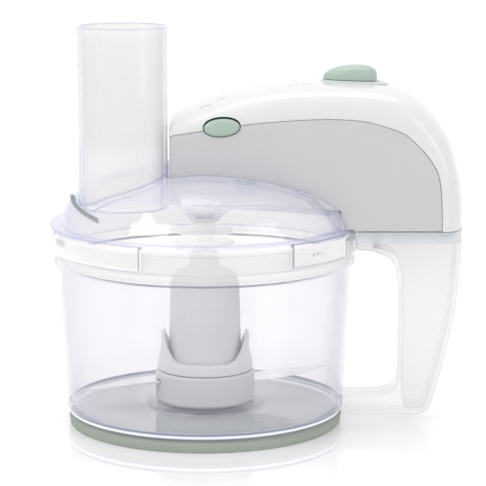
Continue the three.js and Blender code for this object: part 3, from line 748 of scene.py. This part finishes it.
# %% Column
column = turned("tool_column", [
    (0, 13.2), (21.8, 13.2, 0.5), (22.3, 34, 20), (22.3, 55, 20), (21.5, 84, 20), (20.4, 92.4, 5),
    (12, 96.3, 4), (9.3, 96.8, 1.5), (8.9, 106, 0.6), (0, 106)], column_grey, 1, 128)
column_side = [(0, 5), (19.8, 5), (19.8, 60), (19, 84), (12, 91), (0, 91)]
carve(column, "DIFFERENCE", turned("column_room", column_side, column_grey, 0, 64),
      flat_prism("column_socket", oval(0, 0, 5.2, 5.2, 6), 85, 120, column_grey))
settle(column, "tool", "grey_plastic", "tool_holder")

# %% Drum with its blade slots
drum = turned("blade_drum", [
    (22.8, 13.3), (29.8, 13.3, 1.2), (30.9, 15, 1.2), (30.9, 31, 1), (29.8, 32.5, 0.8),
    (22.8, 32.5)], hub_white, 0.6, 128)
TURN_UP, TURN_LOW = 14, 188
ROOT_UP, ROOT_LOW = 24.6, 26.6
SLOT_X, SLOT_W, SLOT_H = (22, 33), 10.5, 1.5


def blade_slot(root, turn):
    """Box through the drum's wall for the blade whose root is at that height and turn."""
    box = [(SLOT_X[0], -SLOT_W), (SLOT_X[1], -SLOT_W), (SLOT_X[1], SLOT_W), (SLOT_X[0], SLOT_W)]
    c, s = math.cos(turn * DEG), math.sin(turn * DEG)
    plan = [(x * c - y * s, x * s + y * c) for x, y in box]
    return flat_prism("slot", plan, root - SLOT_H, root + SLOT_H, hub_white)


carve(drum, "DIFFERENCE", blade_slot(ROOT_UP, TURN_UP), blade_slot(ROOT_LOW, TURN_LOW))
settle(drum, "tool", "white_plastic", "blade_hub")

# %% Finger collar
collar = turned("finger_collar_ring", [
    (22.8, 33), (29.8, 33, 1), (29.5, 38, 4), (27.6, 46, 8), (27.6, 55.4, 1), (26.6, 56, 0.6),
    (24.7, 55.4, 0.6), (24.5, 46, 8), (22.9, 40, 3)], collar_white, 0.6, 128)
scoop_line = [(-26, 60, 0), (-25, 54), (-22.5, 47), (-19.5, 41.8), (-16, 39.6), (16, 39.6), (19.5, 41.8),
              (22.5, 47), (25, 54), (26, 60, 0)]
carve(collar, "DIFFERENCE", side_prism("scoop", rounded(scoop_line, 8), -50, 50, collar_white))
soften(collar, 0.5, 3, 50)
settle(collar, "tool", "white_plastic", "finger_collar")

# %% [markdown]
# ## Blades
# Each blade is thin sheet steel, broad at the drum and swept to a point, ground to an edge in
# front. Rings across it follow a sweep formula, so both blades come from one function.

# %% Blades
ROOT_R, HALF_SHEET, HALF_EDGE, GRIND_W = 23.5, 0.72, 0.1, 3.2
BLADE_STEPS = 36


def blade(name, turn, heights, reach, node):
    """Blade from the drum out to `reach`, whose height goes from heights[0] to heights[1]."""
    rings = []
    c, s = math.cos(turn * DEG), math.sin(turn * DEG)
    for i in range(BLADE_STEPS + 1):
        t = i / BLADE_STEPS
        u = ROOT_R + (reach - ROOT_R) * t
        front = -9.3 + 17.0 * t ** 3.2
        back = 9.2 + 1.2 * math.sin(math.pi * min(1, t * 1.1)) - 0.2 * t
        back = max(back, front + 1.2)
        z = heights[0] + (heights[1] - heights[0]) * (3 * t * t - 2 * t ** 3)
        grind = front + min(GRIND_W, (back - front) * 0.6)
        below = [(front, -HALF_EDGE), (grind, -HALF_SHEET), (back, -HALF_SHEET)]
        line = below + [(v, -h) for v, h in reversed(below)]
        rings.append([(u * c - v * s, u * s + v * c, z + h) for v, h in line])
    piece = loft(name, rings, blade_steel, 20)
    return settle(piece, "tool", "steel", node)


blade("blade_high", TURN_UP, (ROOT_UP, 26.9), 79.3, "blade_upper")
blade("blade_low", TURN_LOW, (ROOT_LOW, 22.5), 77.3, "blade_lower")

# %% [markdown]
# ## Motor unit
# The white cover is one arch: a seam line runs round both side panels, a crown line runs along the
# middle, and every cross-section is a squarish curve from seam to crown to seam. Sampling those two
# smooth lines gives a grid of points; Solidify gives it the wall.

# %% Cover
SEAM = [(-20.3, 146), (-20.3, 180.2), (-20.3, 183.7), (-16.8, 184.3), (35.3, 192.4), (91.5, 194.8),
        (118.8, 186.3), (123.8, 182.9), (135.8, 171.2), (144.4, 155.9), (144.2, 125.4)]
CROWN = [(-20.9, 146), (-20.9, 186), (-20.9, 190.6), (-16.6, 192.4), (32.5, 212.3), (102.4, 213.4),
         (126.5, 206.5), (142.3, 191.1), (151.5, 175.7), (159.2, 143), (157.9, 125.4)]
ARM_W, SQUARENESS = 38.0, 3.0
BEND_STEPS, ACROSS = 18, 48


def arch(corners):
    """Smooth line that touches the middle of every straight between two corners."""
    at = [Vector(c) for c in corners]
    starts = [at[0]] + [(a + b) / 2 for a, b in zip(at[1:], at[2:-1])]
    line = []
    for a, corner, b in zip(starts, at[1:-1], starts[1:] + [at[-1]]):
        for t in [k / BEND_STEPS for k in range(BEND_STEPS)]:
            line.append((1 - t) ** 2 * a + 2 * t * (1 - t) * corner + t * t * b)
    return line + [at[-1]]


seam, crown = arch(SEAM), arch(CROWN)
SPANS = len(seam) - 1


def rib(p, s):
    """Points across the cover, from the seam at p over the crown at s to the other seam."""
    out = []
    for j in range(ACROSS + 1):
        t = -math.pi / 2 + math.pi * j / ACROSS
        y = ARM_W * math.copysign(abs(math.sin(t)) ** (2 / SQUARENESS), math.sin(t))
        up = max(0.0, math.cos(t)) ** (2 / SQUARENESS)
        out.append((p.x + (s.x - p.x) * up, y, p.y + (s.y - p.y) * up))
    return out


COVER_WALL = 2.3


def cover_sheet():
    """The grid of ribs, given its wall."""
    points = [q for p, s in zip(seam, crown) for q in rib(p, s)]
    n = ACROSS + 1
    faces = [(i * n + j, i * n + j + 1, (i + 1) * n + j + 1, (i + 1) * n + j)
             for i in range(SPANS) for j in range(ACROSS)]
    sheet = make("drive_cover", points, faces, white_abs, 60)
    if sheet.data.polygons[len(faces) // 2].normal.z < 0:
        sheet.data.flip_normals()
    wall = sheet.modifiers.new("wall", "SOLIDIFY")
    wall.thickness, wall.offset, wall.use_even_offset = COVER_WALL * MM, -1, False
    return soften(sheet, 0.45, 3, 50)


# %% Holes in the cover
BUTTON_X, BUTTON_Z, BUTTON_LEAN = 11, 188.7, 0.07
BUTTON_A, BUTTON_B, BUTTON_POWER = 11, 5.4, 2.1
GAP, EXTRA_GAP = 0.35, 0.75


def button_line(grow):
    """Outline of a release button on the side, leaning with the seam."""
    c, s, out = math.cos(BUTTON_LEAN), math.sin(BUTTON_LEAN), []
    for x, z in oval(0, 0, BUTTON_A + grow, BUTTON_B + grow, 64, BUTTON_POWER):
        out.append((BUTTON_X + x * c - z * s, BUTTON_Z + x * s + z * c))
    return out


def button_cutters():
    """Tools for the buttons' holes, whose upper half stands a little clear of the buttons."""
    line = []
    for x, z in button_line(GAP):
        upper = z > BUTTON_Z + BUTTON_LEAN * (x - BUTTON_X)
        line.append((x, z + EXTRA_GAP if upper else z))
    return [side_prism("cutter", line, *y, white_abs) for y in ((-60, -25), (25, 60))]


def switch_slot():
    """Tool for the slot that the slider's stem runs in."""
    line = [(83, -3.6), (99, -3.6), (99, 3.6), (83, 3.6)]
    return flat_prism("slot", rounded(line, 2), 200, 230, white_abs)


cover = cover_sheet()
carve(cover, "DIFFERENCE", *button_cutters(), switch_slot())
settle(cover, "motor_unit", "white_plastic", "motor_cover")

# %% [markdown]
# ## Side panels
# A grey panel closes each side of the arm up to the cover's seam, so its outline is the seam line
# itself, moved in by the width of the joint. The buttons, the latch lug and the cord inlet pass
# through holes in it, cut a hair larger than the parts.

# %% Side panels
def inset(line, d):
    """Closed outline moved inwards by d."""
    out = []
    for i, (x, z) in enumerate(line):
        a, b = Vector(line[i - 1]), Vector(line[(i + 1) % len(line)])
        n = Vector(((b - a).y, -(b - a).x)).normalized()
        out.append((x + n.x * d, z + n.y * d))
    return out


JOINT = 0.28
PANEL_FRONT_X, PANEL_FOOT_Z, PANEL_STEP_X, ARM_FOOT_Z = 82.9, 126.5, 90.7, 125.4
LUG_R, LUG_Z = 6, 156.6
GLAND_X, GLAND_Z = 128, 142
panel_foot = [(PANEL_STEP_X, ARM_FOOT_Z), (PANEL_STEP_X, PANEL_FOOT_Z), (PANEL_FRONT_X, PANEL_FOOT_Z),
              (PANEL_FRONT_X, under_arm(PANEL_FRONT_X))]
panel_line = inset([(p.x, p.y) for p in seam] + panel_foot, JOINT)


def lug_hole(side):
    """Half-round hole for the latch lug."""
    r = LUG_R + GAP
    angles = [t * DEG for t in range(180, 361, 9)]
    line = [(LATCH_X + r * math.cos(t), LUG_Z + GAP + r * math.sin(t)) for t in angles]
    return side_prism("lug_hole", line, side * 30, side * 45, grey_panel)


def gland_rings(levels, steps):
    """Rings of the cord inlet: each level is (radius, depth)."""
    angles = [2 * math.pi * k / steps for k in range(steps)]
    return [[(GLAND_X + r * math.cos(t), y, GLAND_Z + r * math.sin(t)) for t in angles] for r, y in levels]


def side_panel(name, side, node):
    y = sorted((side * 35.4, side * 37.9))
    panel = side_prism(name, panel_line, *y, grey_panel, 0.5)
    carve(panel, "DIFFERENCE", *button_cutters(), lug_hole(side))
    if side > 0:
        carve(panel, "DIFFERENCE", loft("gland_hole", gland_rings([(5.8, 30), (5.8, 45)], 32), grey_panel))
    settle(panel, "motor_unit", "grey_plastic", node)


side_panel("panel_front", -1, "side_panel_front")
side_panel("panel_rear", 1, "side_panel_rear")

# %% [markdown]
# ## Controls
# The speed slider is a mint lobe on an oval bezel that follows the cover's crown. Two oval buttons
# on the seams release the arm. Each is a stack of rings that shrinks towards the top, so its edge
# is round without a bevel.

# %% Heights on the cover
NOSE_TOP_Z = 183.8


def height_at(line, x):
    """Height of a guide line at x, on the stretch above the arm's upright nose."""
    ahead = next(i for i, p in enumerate(line) if p.x >= x and p.y > NOSE_TOP_Z)
    a, b = line[ahead - 1], line[ahead]
    return a.y + (b.y - a.y) * (x - a.x) / (b.x - a.x)


def on_cover(x, y):
    """Height of the cover's skin over the point (x, y)."""
    low, high = height_at(seam, x), height_at(crown, x)
    return low + (high - low) * (1 - (abs(y) / ARM_W) ** SQUARENESS) ** (1 / SQUARENESS)


# %% Bezel
BEZEL_X, BEZEL_A, BEZEL_B = 92.2, 20.6, 12.9


def bezel_skin():
    """Stack of ovals that hug the cover and shrink as they rise."""
    rings = []
    for k, h in ((1, -0.3), (1, 0.5), (0.985, 0.9), (0.95, 1.15), (0.80, 1.22)):
        plan = oval(BEZEL_X, 0, BEZEL_A * k, BEZEL_B * k, 96)
        rings.append([(x, y, on_cover(x, y) + h) for x, y in plan])
    return loft("slider_bezel", rings, mint_pale, 50)


bezel = carve(bezel_skin(), "DIFFERENCE", switch_slot())
settle(bezel, "motor_unit", "mint_plastic", "switch_bezel")

# %% Speed slider
# Each level of the thumb lobe is (left end, right end, half width, height above the lobe's foot).
LOBE_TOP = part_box("speed_slider")[1].z / MM
LOBE = [(72.6, 105.9, 10.5, 0.0), (73, 105.9, 10.4, 3.0), (74.2, 105.6, 10.1, 5.0),
        (77.9, 104.6, 9.2, 7.2), (83.4, 101.6, 7.1, 8.9), (88, 98.2, 4.4, 9.55), (91.5, 95.5, 1.5, 9.72)]
LOBE_STEPS, LOBE_CLEAR = 24, 1.6
LOBE_FOOT = LOBE_TOP - LOBE[-1][3]
stem_plan = [(84, -2.9), (92, -2.9), (92, 2.9), (84, 2.9)]


def lobe():
    """Rings between the levels, none of them lower than the bezel it slides over."""
    rings = []
    for step in range(LOBE_STEPS + 1):
        place = step / LOBE_STEPS * (len(LOBE) - 1)
        i = min(int(place), len(LOBE) - 2)
        left, right, half, up = [a + (b - a) * (place - i) for a, b in zip(LOBE[i], LOBE[i + 1])]
        ring = []
        for x, y in oval((left + right) / 2, 0, (right - left) / 2, half, 96):
            lowest = on_cover(x, y) + LOBE_CLEAR
            ring.append((x, y, max(lowest, LOBE_FOOT + up) if step else lowest))
        rings.append(ring)
    return loft("speed_lobe", rings, mint_control, 60)


slider = carve(lobe(), "UNION", flat_prism("stem", stem_plan, 198, 217, mint_control))
settle(slider, "slider", "mint_plastic", "speed_slider")


# %% Release buttons
def release(side, name):
    """Oval button on one side: each ring is (how far inside the outline, distance outwards)."""
    rings = []
    for inset_by, depth in ((0.2, 33), (0.2, 38.4), (0.5, 39.1), (1.2, 39.8), (2.4, 40.2), (4.2, 40.4)):
        rings.append([(x, side * depth, z) for x, z in button_line(-inset_by)])
    button = loft(f"release_oval_{name}", rings, mint_control, 50)
    settle(button, f"release_{name}", "mint_plastic", f"release_button_{name}")


release(-1, "front")
release(1, "rear")

# %% [markdown]
# ## Cord inlet
# A rubber sleeve keeps the cord from kinking where it enters the arm. Its rings run out along the
# sleeve, over its lip and back down the bore, so one loft gives both its outside and its hole.

# %% Cord inlet
gland = loft("cord_inlet", gland_rings([
    (5.3, 32), (5.3, 38.25), (6.9, 38.35), (6.9, 39.6), (5.7, 42.6), (5.2, 43), (3.4, 43),
    (3.2, 42.6), (3.2, 40.2)], 48), black_rubber, 40)
settle(gland, "motor_unit", "black_rubber", "cord_gland")

# %% [markdown]
# ## Ribs and marks
# Small raised ribs repeat round the lid's shoulder, its lock tabs and the tool's column. Each could
# be placed by hand, but a Geometry Nodes tree lays copies of one rib along an arc, with its sizes
# as named inputs, so one tree serves every row and ends in a plain mesh.

# %% Rib tree
def rib_tree():
    tree = bpy.data.node_groups.new("ribs_on_an_arc", "GeometryNodeTree")
    tree.interface.new_socket("Geometry", in_out="INPUT", socket_type="NodeSocketGeometry")
    tree.interface.new_socket("Geometry", in_out="OUTPUT", socket_type="NodeSocketGeometry")
    floats = ("Radius", "Height", "Start", "Sweep", "Lean", "Rise", "Spread")
    kinds = {"Count": "Int", **dict.fromkeys(floats, "Float"), "Rib": "Vector", "Finish": "Material"}
    for name, kind in kinds.items():
        tree.interface.new_socket(name, in_out="INPUT", socket_type=f"NodeSocket{kind}")
    add, link = tree.nodes.new, tree.links.new
    given, out = add("NodeGroupInput"), add("NodeGroupOutput")

    def maths(operation, a, b):
        node = add("ShaderNodeMath")
        node.operation = operation
        for socket, value in zip(node.inputs, (a, b)):
            if isinstance(value, bpy.types.NodeSocket):
                link(value, socket)
            else:
                socket.default_value = value
        return node.outputs[0]

    line, place = add("GeometryNodeMeshLine"), add("GeometryNodeInputIndex")
    link(given.outputs["Count"], line.inputs["Count"])
    gaps = maths("MAXIMUM", maths("SUBTRACT", given.outputs["Count"], 1), 1)
    step = maths("DIVIDE", given.outputs["Sweep"], gaps)
    angle = maths("ADD", given.outputs["Start"], maths("MULTIPLY", place.outputs[0], step))
    spread = maths("MULTIPLY", place.outputs[0], given.outputs["Spread"])
    radius = maths("ADD", given.outputs["Radius"], spread)
    rise = maths("MULTIPLY", place.outputs[0], given.outputs["Rise"])
    spot = add("ShaderNodeCombineXYZ")
    link(maths("MULTIPLY", radius, maths("COSINE", angle, 0)), spot.inputs[0])
    link(maths("MULTIPLY", radius, maths("SINE", angle, 0)), spot.inputs[1])
    link(maths("ADD", given.outputs["Height"], rise), spot.inputs[2])
    put = add("GeometryNodeSetPosition")
    link(line.outputs[0], put.inputs["Geometry"])
    link(spot.outputs[0], put.inputs["Position"])
    rib_box, turn = add("GeometryNodeMeshCube"), add("ShaderNodeCombineXYZ")
    copies = add("GeometryNodeInstanceOnPoints")
    link(given.outputs["Rib"], rib_box.inputs["Size"])
    link(given.outputs["Lean"], turn.inputs[1])
    link(angle, turn.inputs[2])
    link(put.outputs[0], copies.inputs["Points"])
    link(rib_box.outputs[0], copies.inputs["Instance"])
    link(turn.outputs[0], copies.inputs["Rotation"])
    real, paint = add("GeometryNodeRealizeInstances"), add("GeometryNodeSetMaterial")
    link(copies.outputs[0], real.inputs[0])
    link(real.outputs[0], paint.inputs["Geometry"])
    link(given.outputs["Finish"], paint.inputs["Material"])
    link(paint.outputs[0], out.inputs[0])
    return tree


RIBS = rib_tree()
print("rib tree nodes:", len(RIBS.nodes))


# %% Rows of ribs
def ribs(name, finish, body, slot, arc, size, lean=0.0, rise=0.0, spread=0.0):
    """Ribs of size (outwards, along, up) on an arc of (count, radius, height, start, sweep).

    Lengths are in millimetres and angles in degrees; `rise` and `spread` are added from rib to rib.
    """
    count, radius, height, start, sweep = arc
    made = bpy.data.objects.new(name, bpy.data.meshes.new(name))
    bpy.context.scene.collection.objects.link(made)
    step = made.modifiers.new("ribs", "NODES")
    step.node_group = RIBS
    values = {"Count": count, "Radius": radius * MM, "Height": height * MM, "Start": start * DEG,
              "Sweep": sweep * DEG, "Rib": [c * MM for c in size], "Lean": lean * DEG, "Rise": rise * MM,
              "Spread": spread * MM, "Finish": finish}
    for item in RIBS.interface.items_tree:
        if item.item_type == "SOCKET" and item.in_out == "INPUT" and item.name in values:
            step[item.identifier] = values[item.name]
    finished(made)
    soften(made, min(size) * 0.25, 2, 30)
    if not made.data.materials:
        made.data.materials.append(finish)
    return settle(made, body, slot)


LID, TOOL = ("lid_unit", "clear_plastic"), ("tool", "white_plastic")
ribs("shoulder_grip", grip_tint, *LID, (14, 81.3, 142.2, -174, 35), (2.2, 3.0, 4.0), 38, -0.5, 0.24)
ribs("tab_grip", edge_tint, *LID, (6, 96.1, 119.5, -158, 7), (0.6, 0.8, 4.5))
ribs("arrow_dots", edge_tint, *LID, (3, 96.25, 117.5, -47, 4), (0.4, 0.8, 1.6))
ribs("column_ticks_high", collar_white, *TOOL, (4, 21.75, 76, -118, 52), (0.5, 3.6, 0.6))
ribs("column_ticks_low", collar_white, *TOOL, (3, 22.25, 61, -112, 38), (0.5, 3.0, 0.6))

# %% [markdown]
# ## Frame lines on the tabs
# A fine raised line frames each lock tab. It follows the tab's curve, so the curved plate that
# made the tab makes each line too, a little proud of it.

# %% Frame lines
TAB_LINES = [("tab_foot", 111.2, 111.6, -56.6, -28.4), ("tab_head", 124.8, 125.2, -56.6, -28.4),
             ("tab_stop", 111.2, 125.2, -56.9, -56.1), ("left_tab_stop", 111.2, 125.2, -112.9, -112.5)]
for name, low, high, start, end in TAB_LINES:
    settle(arc_plate(name, 95.7, 96.5, low, high, start, end, edge_tint, 0.2), *LID)

# %% [markdown]
# ## Scale marks
# Small pale marks lie on the cover in front of the slider. Each is a thin oval that takes its
# height from the cover's own skin, so it sits flush on the curve.

# %% Scale marks on the arm
SUNK, PROUD = -0.4, 0.14


def mark(name, x, y, a, b):
    """Thin oval of half sizes a and b, laid on the cover."""
    plan = oval(x, y, a, b, 24)
    rings = [[(px, py, on_cover(px, py) + h) for px, py in plan] for h in (SUNK, PROUD)]
    settle(loft(name, rings, mint_pale), "motor_unit", "mint_plastic")


mark("arm_mark_1", 0.5, -16, 3.2, 1.0)
mark("arm_mark_2", 10.5, -12, 2.6, 1.2)
for number in range(4):
    mark(f"speed_tick_{number + 1}", 52 + 4.2 * number, -14, 0.5, 1.8)

# %% [markdown]
# ## Finishes for the working parts inside
# The drive train keeps its exact shapes from the frame and only needs its finishes: turned steel
# for shafts and screws, brass for bushes, dark nylon for the driving parts, rubber for the belt.

# %% Inner parts
inner = {
    turned_steel: ["bowl_spindle", "interlock_spring", "coupler_clip", "rotor_shaft", "stator_can",
                   "drive_spindle", *[f"case_screw_{number}" for number in range(1, 5)]],
    bush_brass: ["motor_pulley", "spindle_bush_lower", "spindle_bush_upper"],
    column_grey: ["interlock_pin"],
    collar_white: ["bearing_sleeve", "lid_bush", "fan", "driven_pulley"],
    dark_nylon: ["rotor_core", "drive_dog", "switch_block"],
    black_rubber: ["motor_mount", "drive_belt"],
    grey_panel: ["underside_plate", "bearing_bridge"],
    mint_control: ["latch_lug_front", "latch_lug_rear"],
    board_green: ["control_board"],
}
for finish, names in inner.items():
    for name in names:
        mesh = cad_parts[name].data
        mesh.materials.clear()
        mesh.materials.append(finish)
print("inner parts finished:", sum(len(names) for names in inner.values()))
